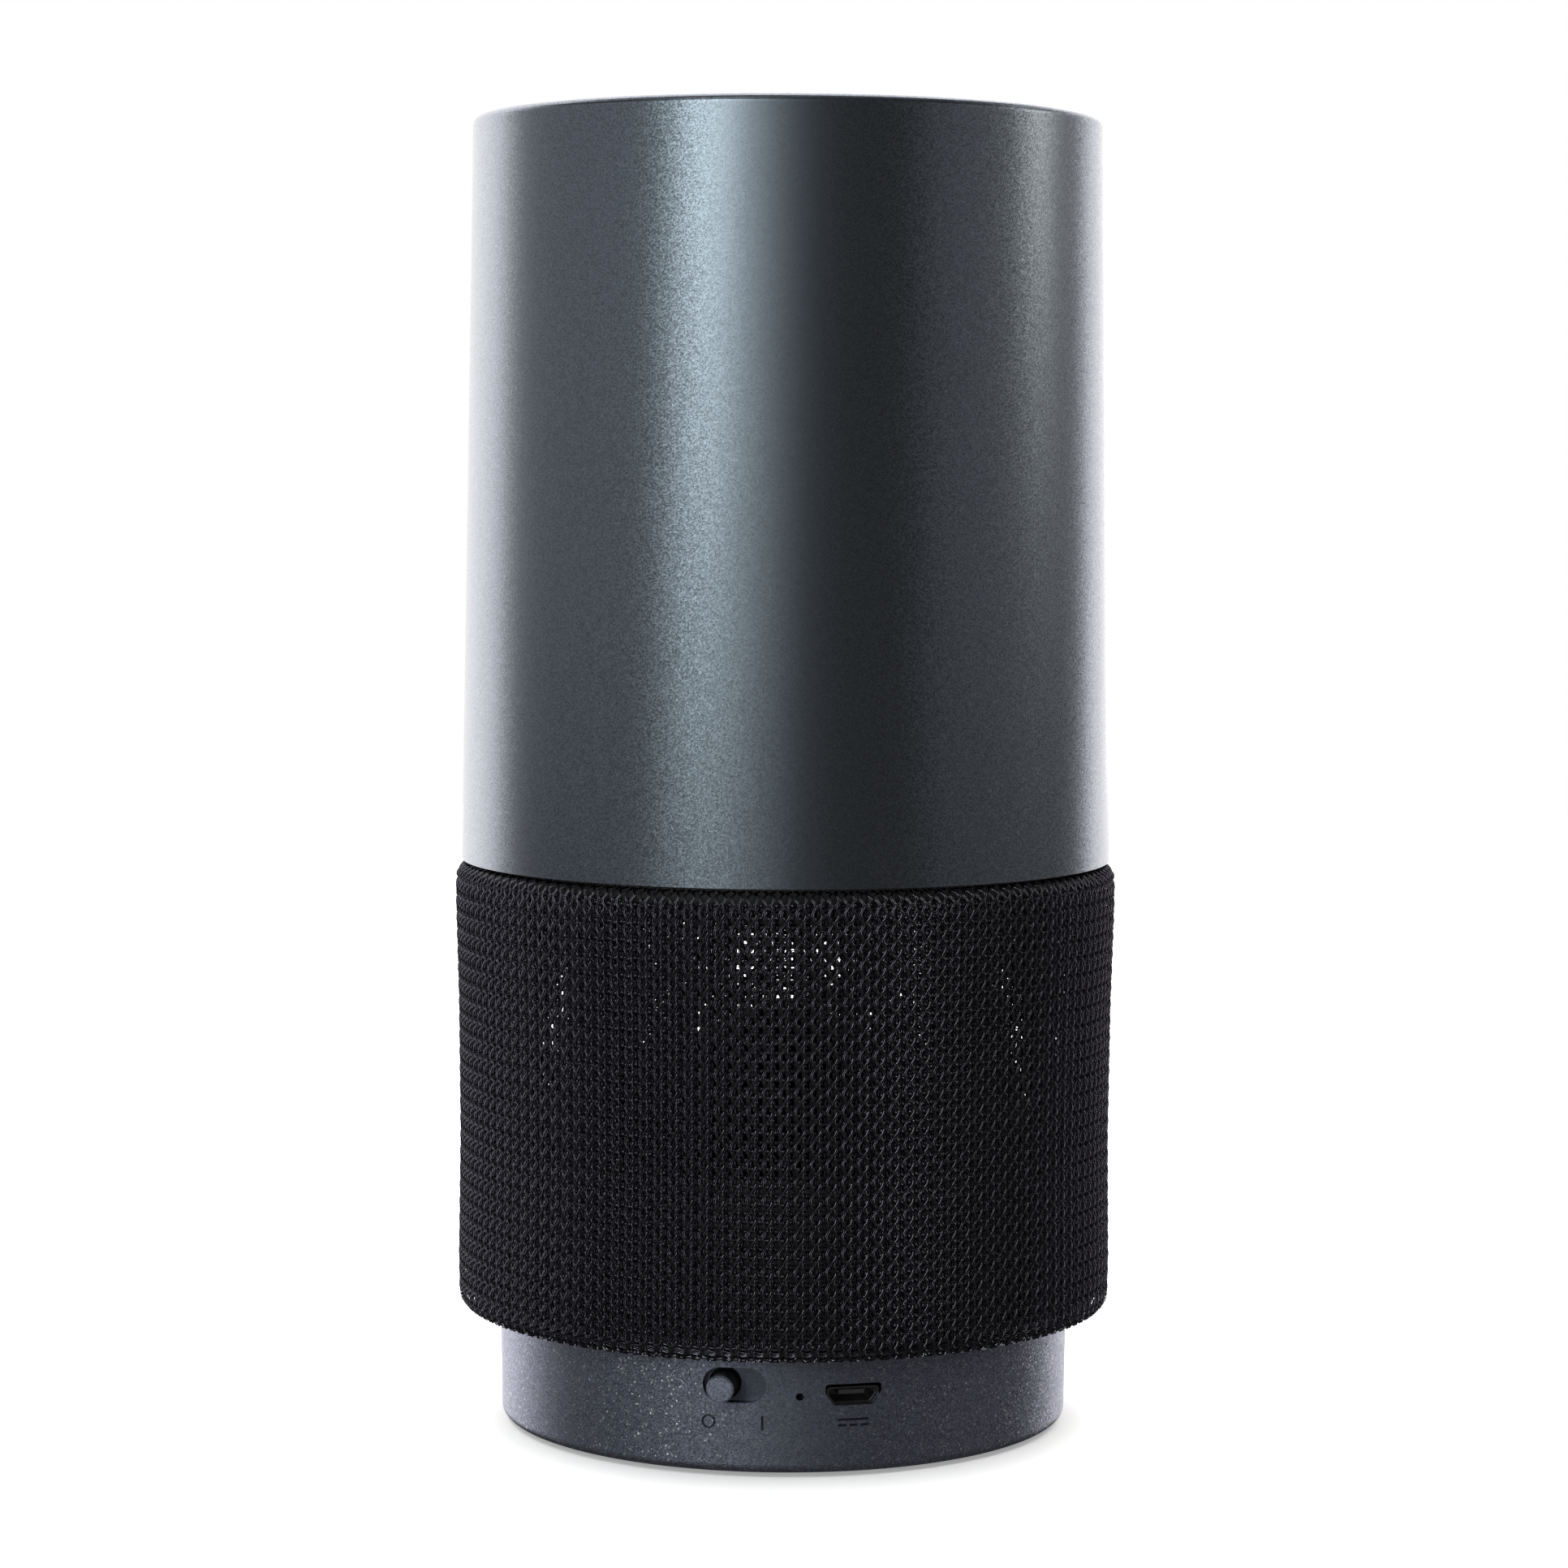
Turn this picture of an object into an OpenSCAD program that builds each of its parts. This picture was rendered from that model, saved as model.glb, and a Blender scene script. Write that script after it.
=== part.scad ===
// Portable round loudspeaker: a tapered metallic shell over a mesh-covered
// sound outlet, on a smaller base that holds the switch and the charging socket.
// Millimetres, +Z up, origin on the table under the middle of the foot ring.
// The controls of the base face -Y. Angles round the body run from -Y towards +X.

/* [Overall] */
// Height from the table to the rim of the shell
total_h = 191.8; // [188:0.1:200]
// How far the foot ring stands proud of the base
foot_proud = 0.6; // [0.4:0.1:0.8]
// Height of the lower edge of the mesh sleeve
sleeve_z = 17.7; // [17.5:0.1:18.5]
// Height of the lower edge of the shell
shell_z = 83.5; // [83:0.1:88]

/* [Shell] */
// Outer radius of the shell at its lower edge
shell_r = 48; // [47.8:0.1:48.4]
// Outer radius of the shell at its rim
shell_top_r = 46.25; // [46.1:0.05:47]
// Wall thickness of the shell
shell_wall = 2.4; // [2:0.1:2.4]
// Radius of the rounded rim
rim_round = 1.2; // [0.6:0.1:1.4]

/* [Mesh sleeve] */
// Outer radius of the sleeve at its shoulder, under the shell
sleeve_r = 48.85; // [48.5:0.05:49.2]
// Thickness of the spacer mesh at the shoulder
sleeve_t = 2.7; // [2.4:0.05:2.7]

/* [Base] */
// Outer radius of the base at its upper edge
base_r = 42.3; // [42.2:0.1:43]
// How much smaller the base is at its lower edge
base_draft = 0.25; // [0:0.05:0.5]
// Wall thickness of the base
base_wall = 2.2; // [2.1:0.1:2.3]
// Radius of the rounded lower edge of the base
base_round = 1.2; // [0.6:0.1:1.6]

/* [Power switch] */
// Angle of the middle of the switch slot
switch_angle = -9.35; // [-12:0.05:-9]
// How far the knob slides from off to on
slot_travel = 3; // [2:0.1:3.4]
// Height of the switch slot's middle
switch_z = 13.15; // [13:0.05:13.3]
// Length of the switch slot
slot_len = 9; // [8.5:0.1:9]
// Height of the switch slot
slot_h = 4.95; // [4.8:0.05:5]
// Diameter of the slider's knob
knob_d = 3.9; // [3.5:0.1:4]
// How far the knob stands out of the base
knob_out = 3; // [1.5:0.1:4]

/* [Charging socket] */
// Angle of the middle of the socket
socket_angle = 13.6; // [13:0.1:16]
// Height of the socket's middle
socket_z = 11.8; // [11.7:0.05:11.9]
// Width of the socket's opening in the base
socket_w = 8.1; // [8:0.1:8.4]
// Height of the socket's opening in the base
socket_h = 3.05; // [3:0.05:3.2]

/* [Charge light] */
// Angle of the pinhole in front of the charge light
light_angle = 3.2; // [2:0.1:4]
// Diameter of the pinhole
light_d = 1.1; // [0.8:0.1:1.4]

/* [Sound outlet] */
// Height of the lower edge of the outlet
outlet_z = 43.5; // [43:0.1:45]
// Height of the ring above the outlet
ring_h = 5; // [4.5:0.1:5.5]
// Angle of each pillar from the -Y and +Y directions
pillar_angle = 35; // [33:1:37]
// Width of a pillar
pillar_w = 5.6; // [4:0.1:7]
// Height of the reflector's tip
reflector_tip_z = 62.2; // [58:0.1:66]

/* [Driver] */
// Radius of the driver's flange
flange_r = 35.5; // [35:0.1:35.6]
// Radius of the paper cone
cone_r = 24; // [23:0.1:24]
// Radius of the voice coil former
coil_r = 10; // [9.5:0.1:10]
// Radius of the magnet
magnet_r = 22; // [20:0.5:24]

/* [Buttons] */
// Diameter of a button cap
button_d = 15; // [12:0.5:16]
// Distance between neighbouring buttons
button_pitch = 22; // [20:0.5:23]
// How far a button goes down
button_travel = 0.4; // [0.2:0.05:0.5]

/* [Hidden] */
$fn = 96;
eps = 0.01;

// Base, from the underside up
floor_z = foot_proud;
floor_t = 2.4;
base_top_z = sleeve_z;
base_low_r = base_r - base_draft;
base_in_r = base_r - base_wall;
foot_in_r = 30;
foot_out_r = 38.5;
foot_groove = 0.6;
corner_r = 34.5;
corner_boss_r = 3.6;
screw_r = 1.3;
screw_head_r = 2.6;
screw_head_h = 1.6;
mark_depth = 0.3;
mark_z = 7.85;
mark_h = 2.05;
mark_line = 0.34;
mark_gap = 0.4;
off_angle = switch_angle - 4.95;
on_angle = switch_angle + 5.45;
supply_mark_len = 4.4;
supply_dash = 1.16;
supply_pitch = 1.62;

// Main board in the base
board_top_z = 10.2;
board_t = 1.6;
board_r = 38.3;
shell_mid_z = board_top_z + 1.3;
board_edge_y = -3;
board_posts = [[-22, -8], [22, -8], [0, -29]];
post_r = 2.6;
small_screw_r = 0.95;
small_head_r = 1.9;
small_head_h = 1.4;

// Slider, in the slot's own frame: X along the slot, -Y outwards
slider_depth = 1.6;
slider_y = -(base_r - slider_depth) + 0.05;
slider_plate_t = 1.2;
slider_back_t = 0.8;
slider_half_len = 7;
slider_half_h = 3.3;
slider_well_r = 2.3;
rail_len = 18.6;
rail_h = 1.2;
knob_x = -slot_travel / 2;

// Grille frame
frame_r = 46.1;
frame_wall = 2.9;
frame_floor_t = 2.5;
frame_floor_in_r = 37;
small_boss_r = 2.9;
boss_h = 8;
reflector_t = 2.5;
reflector_z = outlet_z - reflector_t;
ring_z = shell_z - ring_h;
ring_in_r = 40.5;
tenon_w = 3.6;
tenon_t = 1.3;
tenon_h = 3;
tenon_gap = 0.05;
wire_hole_r = 1.9;
wire_at_r = 39;
reflector_screw_r = 39.6;
baffle_screw_r = 42.5;

// Shell and top panel
panel_t = 2.6;
panel_r = 43.5;
panel_top_z = total_h - 1.2;
panel_z = panel_top_z - panel_t;
lip_r = panel_r + 0.1;
cap_top_z = panel_top_z + 0.7;
cap_flange_r = button_d / 2 + 1.5;
cap_flange_t = 1.2;
cap_z = panel_z - 0.2 - cap_flange_t;
switch_body_h = 3.2;
switch_top_z = cap_z - 0.9;
button_board_z = switch_top_z - switch_body_h - 1.2;
button_board_t = 1.2;
button_posts = [[-11, -13], [11, -13], [-11, 13], [11, 13]];
plunger_r = 1.75;
plunger_h = 1.7;

// Driver, seen from the baffle's lower face, with its cone facing down
gasket_t = 1;
flange_t = 1.5;
cone_h = 10.5;
basket_top = 15;
basket_t = 1.2;
spider_z = 11;
baffle_t = 3;
baffle_r = 45.3;
driver_hole_r = 30;
driver_screw_at = 33;
coil_gap = 0.45;
former_t = 0.2;
winding_t = 0.45;

// Battery cell
cell_r = 9.2;
cell_len = 65;
cell_y = 8;
cell_z = 13.4;

// Wires, as points chosen by hand, and the height at which each one starts
speaker_route = [
  [15.8, -21.4, 96.5], [18.6, -26, 97], [21.6, -30.8, 95], [22.4, -31.9, 90],
  [22.4, -31.9, 70], [22.4, -31.9, 50], [22.4, -31.9, 34], [20.6, -29.4, 25.5],
  [17.6, -24, 20.5], [16.2, -18.6, 15.2], [16, -13.4, 13]
];
panel_route = [
  [-5, -11.8, 179.6], [-6.4, -16.2, 179.4], [-13, -23.3, 175.5], [-20.4, -29.6, 168],
  [-22.4, -31.9, 156], [-22.4, -31.9, 125], [-22.4, -31.9, 95], [-22.4, -31.9, 65],
  [-22.4, -31.9, 36], [-20.6, -29.4, 25.5], [-17.6, -24, 20.5], [-16.2, -18.6, 15.2],
  [-16, -13.4, 13]
];
battery_route = [
  [33.9, 8, 13.4], [35.9, 7.6, 13.4], [36.6, 4.6, 13.8], [35.6, -1, 15], [30, -6.5, 17.6], [20, -8.6, 19.4],
  [9, -9.6, 18.6], [2.6, -9.2, 17], [0.4, -8.5, 14]
];

// ---- Shared shapes ----

// Puts its children at an angle round the body, with -Y outwards
module at_angle(a) {
  rotate([0, 0, a]) children();
}

// A washer-shaped solid
module ring(outer, inner, h) {
  difference() {
    cylinder(r = outer, h = h);
    translate([0, 0, -eps]) cylinder(r = inner, h = h + 2 * eps);
  }
}

// A solid of revolution from [radius, height] points
module turned(points) {
  rotate_extrude() polygon(points);
}

// A slot-shaped prism along Y, centred on the origin
module slot_y(len, h, depth) {
  for (x = [-1, 1] * (len - h) / 2)
    translate([x, 0, 0]) rotate([90, 0, 0]) cylinder(d = h, h = depth, center = true);
  cube([len - h, depth, h], center = true);
}

// A pan-head screw, its head's underside at z = 0 and its shank pointing up
module screw_up(shank_r, shank_len, head_r, head_h) {
  translate([0, 0, -head_h]) difference() {
    cylinder(r = head_r, h = head_h);
    for (a = [0, 90]) rotate([0, 0, a])
      cube([head_r * 1.2, 0.6, head_h * 0.9], center = true);
  }
  cylinder(r = shank_r, h = shank_len);
}

// The same screw, its shank pointing down
module screw_down(shank_r, shank_len, head_r, head_h) {
  mirror([0, 0, 1]) screw_up(shank_r, shank_len, head_r, head_h);
}

// The four corner places of the base, inside the foot ring
module at_corners() {
  for (a = [45:90:315]) rotate([0, 0, a]) translate([corner_r, 0, 0]) children();
}

// The four places between the corners, at a given radius
module at_sides(r) {
  for (a = [0:90:270]) rotate([0, 0, a]) translate([0, -r, 0]) children();
}

// The two wire holes, next to the pillars of the switch side
module at_wires() {
  for (a = [-1, 1] * pillar_angle) at_angle(a) translate([0, -wire_at_r, 0]) children();
}

// A point between b and c on the smooth curve through a, b, c and d
function curve_point(a, b, c, d, t) =
  0.5 * (2 * b + (c - a) * t + (2 * a - 5 * b + 4 * c - d) * t * t
    + (3 * b - a - 3 * c + d) * t * t * t);

// The smooth curve through all the points, with n steps for each stretch
function curve(p, n) = [
  for (i = [0:len(p) - 2], k = [0:n - 1])
    curve_point(p[max(i - 1, 0)], p[i], p[i + 1], p[min(i + 2, len(p) - 1)], k / n),
  p[len(p) - 1]
];

function unit(v) = v / norm(v);

// The direction of a path at each of its points
function directions(c) = [
  for (i = [0:len(c) - 1]) unit(c[min(i + 1, len(c) - 1)] - c[max(i - 1, 0)])
];

// A sideways vector at each point, carried along the path so that it never twists
function sideways(d) = [
  for (
    i = 0, s = unit(cross(d[0], [0.3, 0.5, 0.8]));
    i < len(d);
    i = i + 1, s = unit(s - d[min(i, len(d) - 1)] * (s * d[min(i, len(d) - 1)]))
  ) unit(s - d[i] * (s * d[i]))
];

// A round tube of radius r along a curve through the points
module wire(route, r, steps, sides = 8) {
  path = curve(route, steps);
  dirs = directions(path);
  side = sideways(dirs);
  points = [
    for (i = [0:len(path) - 1], k = [0:sides - 1])
      path[i] + r * (side[i] * cos(360 * k / sides)
        + cross(dirs[i], side[i]) * sin(360 * k / sides))
  ];
  walls = [
    for (i = [0:len(path) - 2], k = [0:sides - 1])
      [i * sides + k, i * sides + (k + 1) % sides,
       (i + 1) * sides + (k + 1) % sides, (i + 1) * sides + k]
  ];
  last = (len(path) - 1) * sides;
  ends = [[for (k = [sides - 1:-1:0]) k], [for (k = [0:sides - 1]) last + k]];
  polyhedron(points, concat([for (w = walls) [w[3], w[2], w[1], w[0]]],
    [for (e = ends) [for (k = [sides - 1:-1:0]) e[k]]]));
}

// ---- Base ----

// The points of a small arc round [x, z], from one angle to another
function corner_arc(x, z, r, from, to) = [
  for (i = [0:4]) let (a = from + (to - from) * i / 4) [x + r * cos(a), z + r * sin(a)]
];

// The outline of the socket, width w and height h, centred, with two cut lower corners
module keystone(w, h) {
  r = h * 0.16;
  cut_w = h * 0.42;
  cut_h = h * 0.56;
  slope = atan2(cut_h, cut_w);
  side = concat(
    corner_arc(w / 2 - cut_w - r * tan(slope / 2), -h / 2 + r, r, -90, slope - 90),
    corner_arc(w / 2 - r, -h / 2 + cut_h + r * tan(45 - slope / 2), r, slope - 90, 0),
    corner_arc(w / 2 - r, h / 2 - r, r, 0, 90)
  );
  polygon(concat(side, [for (i = [len(side) - 1:-1:0]) [-side[i][0], side[i][1]]]));
}

// A keystone prism that runs along Y from y0 to y1
module keystone_y(w, h, y0, y1) {
  translate([0, y1, 0]) rotate([90, 0, 0]) linear_extrude(y1 - y0) keystone(w, h);
}

// The marks beside the controls: a ring for off, a bar for on, and the
// straight and broken lines that mean direct current
module marks() {
  deep = 6;
  at_angle(off_angle) translate([0, -base_r, mark_z]) rotate([90, 0, 0]) difference() {
    cylinder(d = mark_h, h = deep, center = true);
    cylinder(d = mark_h - 2 * mark_line, h = deep + 1, center = true);
  }
  at_angle(on_angle) translate([0, -base_r, mark_z])
    cube([mark_line, deep, mark_h], center = true);
  at_angle(socket_angle) translate([0, -base_r, mark_z]) {
    translate([0, 0, mark_gap]) cube([supply_mark_len, deep, mark_line], center = true);
    for (x = [-1, 0, 1] * supply_pitch) translate([x, 0, -mark_gap])
      cube([supply_dash, deep, mark_line], center = true);
  }
}

// The thin skin of the base's outside, which the marks are cut into
module mark_skin() {
  difference() {
    cylinder(r = base_r + 1, h = base_top_z);
    translate([0, 0, -eps]) cylinder(r1 = base_low_r - mark_depth, r2 = base_r - mark_depth,
      h = base_top_z + 2 * eps);
  }
}

module base_cup() {
  round_steps = 6;
  turned(concat(
    [[0, floor_z]],
    [for (i = [0:round_steps]) let (a = -90 + 90 * i / round_steps)
      [base_low_r - base_round + base_round * cos(a), floor_z + base_round + base_round * sin(a)]],
    [[base_r, base_top_z], [base_in_r, base_top_z],
     [base_in_r, floor_z + floor_t], [0, floor_z + floor_t]]
  ));
}

module base_housing() {
  color("slategray") difference() {
    union() {
      base_cup();
      at_corners() translate([0, 0, floor_z + 1]) cylinder(r = corner_boss_r, h = base_top_z - floor_z - 1);
      for (p = board_posts) translate([p[0], p[1], floor_z + 1])
        cylinder(r = post_r, h = board_top_z - board_t - floor_z - 1);
      slider_rails();
    }
    translate([0, 0, floor_z - 1]) ring(foot_out_r + 0.1, foot_in_r - 0.1, 1 + foot_groove);
    at_corners() {
      translate([0, 0, floor_z - 1]) cylinder(r = screw_head_r + 0.2, h = 1 + floor_t + 0.2);
      cylinder(r = screw_r + 0.15, h = base_top_z + 1);
    }
    for (p = board_posts) translate([p[0], p[1], floor_z + floor_t])
      cylinder(r = small_screw_r + 0.05, h = board_top_z);
    at_angle(switch_angle) translate([0, -base_r, switch_z]) slot_y(slot_len, slot_h, 8);
    at_angle(switch_angle) translate([-rail_len / 2, slider_y - 0.05, switch_z - slider_half_h - 0.1])
      cube([rail_len, 5, 2 * slider_half_h + 0.2]);
    at_angle(light_angle) translate([0, -base_r, socket_z - 0.17]) rotate([90, 0, 0])
      cylinder(d = light_d, h = 8, center = true);
    at_angle(socket_angle) {
      translate([0, 0, socket_z]) keystone_y(socket_w, socket_h, -base_r - 2, -base_r + 5);
      translate([0, 0, shell_mid_z]) keystone_y(7.9, 3, -base_r + 0.6, -base_r + 5);
    }
    intersection() {
      marks();
      mark_skin();
    }
  }
}

// The two rails on the inside of the base that the slider runs between
module slider_rails() {
  intersection() {
    at_angle(switch_angle)
      for (z = [switch_z - slider_half_h - 0.1 - rail_h, switch_z + slider_half_h + 0.1])
        translate([-rail_len / 2, -base_r + 0.5, z]) cube([rail_len, 3.2, rail_h]);
    cylinder(r = base_in_r + 0.5, h = base_top_z);
  }
}

module foot_ring() {
  bevel = 0.3;
  color("black") turned([
    [foot_in_r, floor_z + foot_groove], [foot_in_r, bevel], [foot_in_r + bevel, 0],
    [foot_out_r - bevel, 0], [foot_out_r, bevel], [foot_out_r, floor_z + foot_groove]
  ]);
}

module base_screws() {
  head_z = floor_z + floor_t + 0.2;
  color("silver") at_corners() translate([0, 0, head_z])
    screw_up(screw_r, 20, screw_head_r, screw_head_h);
}

// ---- Power slider, in its slot's frame ----

module power_slider() {
  color("dimgray") at_angle(switch_angle) translate([knob_x, 0, switch_z]) {
    difference() {
      translate([-slider_half_len, slider_y, -slider_half_h])
        cube([2 * slider_half_len, slider_plate_t, 2 * slider_half_h]);
      translate([0, slider_y + 1, 0]) rotate([90, 0, 0]) cylinder(r = slider_well_r, h = 4, center = true);
    }
    translate([-slider_half_len, slider_y + slider_plate_t, -slider_half_h])
      cube([2 * slider_half_len, slider_back_t, 2 * slider_half_h]);
    translate([0, slider_y + slider_plate_t + eps, 0]) rotate([90, 0, 0])
      knob_body(base_r + knob_out + slider_y + slider_plate_t);
    for (x = [-1, 1] * 1.5)
      translate([x - 0.5, slider_y + slider_plate_t + slider_back_t - eps, -1.4])
        cube([1, 1.4, 2.8]);
  }
}

// The round knob, with a small bevel round its face
module knob_body(len) {
  bevel = 0.25;
  cylinder(d = knob_d, h = len - bevel);
  translate([0, 0, len - bevel]) cylinder(d1 = knob_d, d2 = knob_d - 2 * bevel, h = bevel);
}

module switch_lever() {
  color("white") at_angle(switch_angle)
    translate([knob_x - 0.8, slider_y + slider_plate_t + slider_back_t + 0.1, switch_z - 0.9])
      cube([1.6, 2.6, 1.8]);
}

module slide_switch_body() {
  front = slider_y + slider_plate_t + slider_back_t + 1.9;
  color("silver") at_angle(switch_angle) difference() {
    translate([-5.2, front, board_top_z]) cube([10.4, 4, 5]);
    translate([-3.2, front - 1, switch_z - 1.1]) cube([6.4, 2.2, 2.2]);
  }
}

// ---- Charging socket and main board ----

// The metal tube of the socket, with a mouth that flares
module socket_shell() {
  color("silver") at_angle(socket_angle) translate([0, 0, shell_mid_z]) difference() {
    union() {
      keystone_y(7.5, 2.6, -base_r + 0.7, -base_r + 1.2);
      keystone_y(7.2, 2.35, -base_r + 1.2, -base_r + 6);
    }
    keystone_y(7, 2.15, -base_r, -base_r + 1.5);
    keystone_y(6.7, 1.85, -base_r, -base_r + 5.6);
  }
}

module socket_tongue() {
  color("black") at_angle(socket_angle)
    translate([-1.85, -base_r + 1.5, shell_mid_z + 0.1]) cube([3.7, 4.2, 0.62]);
}

module charge_light() {
  color("white") at_angle(light_angle) translate([-1, -board_r + 0.2, board_top_z])
    cube([2, 1.1, 1.8]);
}

module main_board() {
  color("darkgreen") translate([0, 0, board_top_z - board_t]) difference() {
    intersection() {
      cylinder(r = board_r, h = board_t);
      translate([-50, -50, -1]) cube([100, 50 + board_edge_y, board_t + 2]);
    }
    at_corners() translate([0, 0, -1]) cylinder(r = corner_boss_r + 0.5, h = board_t + 2);
    for (p = board_posts) translate([p[0], p[1], -1])
      cylinder(r = small_screw_r + 0.2, h = board_t + 2);
  }
}

module board_screws() {
  color("silver") for (p = board_posts) translate([p[0], p[1], board_top_z])
    screw_down(small_screw_r, 6, small_head_r, small_head_h);
}

module radio_module() {
  color("lightgray") translate([-8, -23, board_top_z]) {
    cube([13, 10, 0.8]);
    translate([0.5, 0.5, 0.8]) cube([9.5, 9, 1.6]);
  }
}

module amplifier_chip() {
  color("black") translate([7.5, -23, board_top_z]) cube([5, 6, 1.4]);
}

module capacitors() {
  color("midnightblue") for (p = [[-24, -15], [26, -14], [9, -31]])
    translate([p[0], p[1], board_top_z]) cylinder(r = 2.5, h = 6);
}

module power_inductor() {
  color("dimgray") translate([-15, -29, board_top_z]) difference() {
    cube([6, 6, 3]);
    translate([3, 3, 2.2]) cylinder(r = 2.2, h = 2);
  }
}

// Sockets for the speaker, button and battery wires, open on the wires' side
module wire_connectors() {
  color("ivory") {
    for (x = [-16, 16]) translate([x - 3.5, -14.2, board_top_z]) cube([7, 4.8, 5]);
    translate([-3.5, -10.5, board_top_z]) cube([7, 4.8, 4.4]);
  }
}

// ---- Battery ----

module battery_cell() {
  color("steelblue") translate([-cell_len / 2, cell_y, cell_z]) rotate([0, 90, 0]) {
    cylinder(r = cell_r, h = cell_len);
    translate([0, 0, cell_len]) cylinder(r = 3, h = 1.2);
  }
}

module battery_cradle() {
  low = floor_z + floor_t;
  color("black") difference() {
    translate([-24, cell_y - 11, low]) cube([48, 22, 7]);
    translate([-30, cell_y, cell_z]) rotate([0, 90, 0]) cylinder(r = cell_r + 0.1, h = 60);
  }
}

module battery_wire() {
  color("red") wire(battery_route, 0.9, 3);
}

module speaker_wire() {
  color("black") wire(speaker_route, 1.1, 2);
}

module panel_wire() {
  color("gray") wire(panel_route, 1.1, 2);
}

// ---- Lower housing, outlet, sleeve and reflector ----

module lower_housing() {
  color("slategray") difference() {
    union() {
      translate([0, 0, sleeve_z]) ring(frame_r, frame_r - frame_wall, outlet_z - sleeve_z);
      translate([0, 0, sleeve_z]) ring(frame_r, frame_floor_in_r, frame_floor_t);
      at_corners() translate([0, 0, sleeve_z]) cylinder(r = corner_boss_r, h = 10);
      at_sides(reflector_screw_r) translate([0, 0, reflector_z - boss_h]) {
        cylinder(r = small_boss_r, h = boss_h);
        translate([-small_boss_r, -4.5, 0]) cube([2 * small_boss_r, 4.5, boss_h]);
      }
    }
    at_corners() translate([0, 0, sleeve_z - 1]) cylinder(r = screw_r + 0.05, h = 9);
    at_sides(reflector_screw_r) translate([0, 0, reflector_z - boss_h + 1])
      cylinder(r = small_screw_r + 0.05, h = boss_h);
    tenons(outlet_z, tenon_gap);
  }
}

module outlet_ring() {
  color("slategray") difference() {
    translate([0, 0, ring_z]) ring(frame_r, ring_in_r, ring_h);
    at_sides(baffle_screw_r) translate([0, 0, ring_z - 1]) {
      cylinder(r = small_screw_r + 0.15, h = ring_h + 2);
      cylinder(r = small_head_r + 0.2, h = 1 + small_head_h + 0.1);
    }
    tenons(ring_z, tenon_gap);
  }
}

// The four posts between the lower housing and the ring, with a tenon at each end
module outlet_pillars() {
  color("slategray") {
    intersection() {
      translate([0, 0, outlet_z]) ring(frame_r, frame_r - frame_wall, ring_z - outlet_z);
      at_pillars() translate([-pillar_w / 2, -frame_r - 1, outlet_z - 1])
        cube([pillar_w, 6, ring_z - outlet_z + 2]);
    }
    for (z = [outlet_z, ring_z]) tenons(z, 0);
  }
}

module at_pillars() {
  for (a = [-1, 1] * pillar_angle, flip = [0, 180]) at_angle(a + flip) children();
}

// The tenons across the joint at height z, made larger all round by gap
module tenons(z, gap) {
  at_pillars() translate([0, -frame_r + frame_wall / 2, z])
    cube([tenon_w + 2 * gap, tenon_t + 2 * gap, 2 * (tenon_h + gap)], center = true);
}

// A soft sleeve, fuller at its shoulder and at its lower edge than in between
module mesh_sleeve() {
  top = shell_z - 0.3;
  full = top - sleeve_z;
  in_r = sleeve_r - sleeve_t;
  color("black") turned([
    [in_r, sleeve_z], [sleeve_r - 0.95, sleeve_z], [sleeve_r - 0.4, sleeve_z + 0.9],
    [sleeve_r - 0.35, sleeve_z + full * 0.1], [sleeve_r - 0.6, sleeve_z + full * 0.38],
    [sleeve_r - 0.4, sleeve_z + full * 0.68], [sleeve_r, sleeve_z + full * 0.9],
    [sleeve_r, top - 1.2], [sleeve_r - 0.4, top - 0.4], [sleeve_r - 1.1, top], [in_r, top]
  ]);
}

// Height of the reflector's surface at radius r, above its flange
function reflector_rise(r) =
  let (edge = 41, soft = 3, at = sqrt(r * r + soft * soft) - soft)
    (reflector_tip_z - outlet_z) * pow(max(1 - at / edge, 0), 1.15);

module reflector() {
  steps = 14;
  radii = [for (i = [0:steps]) 40 * i / steps];
  color("black") difference() {
    turned(concat(
      [for (r = radii) [r, outlet_z + reflector_rise(r)]],
      [[43, outlet_z], [43, reflector_z]],
      [for (i = [steps - 2:-1:0]) [radii[i], reflector_z + max(reflector_rise(radii[i]) - 0.2, 0.2)]]
    ));
    at_sides(reflector_screw_r) {
      translate([0, 0, outlet_z]) cylinder(r = small_head_r + 0.3, h = 8);
      translate([0, 0, reflector_z - 1]) cylinder(r = small_screw_r + 0.15, h = 8);
    }
    at_wires() translate([0, 0, reflector_z - 1]) cylinder(r = wire_hole_r, h = 8);
  }
}

module reflector_screws() {
  color("silver") at_sides(reflector_screw_r) translate([0, 0, outlet_z])
    screw_down(small_screw_r, 8, small_head_r, small_head_h);
}

// ---- Baffle and driver ----

module baffle() {
  color("dimgray") difference() {
    union() {
      translate([0, 0, shell_z]) cylinder(r = baffle_r, h = baffle_t);
      translate([0, 0, shell_z]) ring(baffle_r, baffle_r - 2, 11);
      intersection() {
        at_sides(baffle_screw_r) translate([0, 0, shell_z]) cylinder(r = 2.8, h = 9);
        cylinder(r = baffle_r, h = total_h);
      }
      for (a = [45:90:315]) rotate([0, 0, a]) translate([driver_screw_at, 0, shell_z])
        cylinder(r = 2.4, h = 7);
    }
    translate([0, 0, shell_z - 1]) cylinder(r = driver_hole_r, h = baffle_t + 2);
    at_sides(baffle_screw_r) translate([0, 0, shell_z - 1]) cylinder(r = small_screw_r + 0.05, h = 8);
    for (a = [45:90:315]) rotate([0, 0, a]) translate([driver_screw_at, 0, shell_z - 1])
      cylinder(r = small_screw_r + 0.05, h = 7);
    at_wires() translate([0, 0, shell_z - 1]) cylinder(r = 2.5, h = baffle_t + 2);
  }
}

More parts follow.
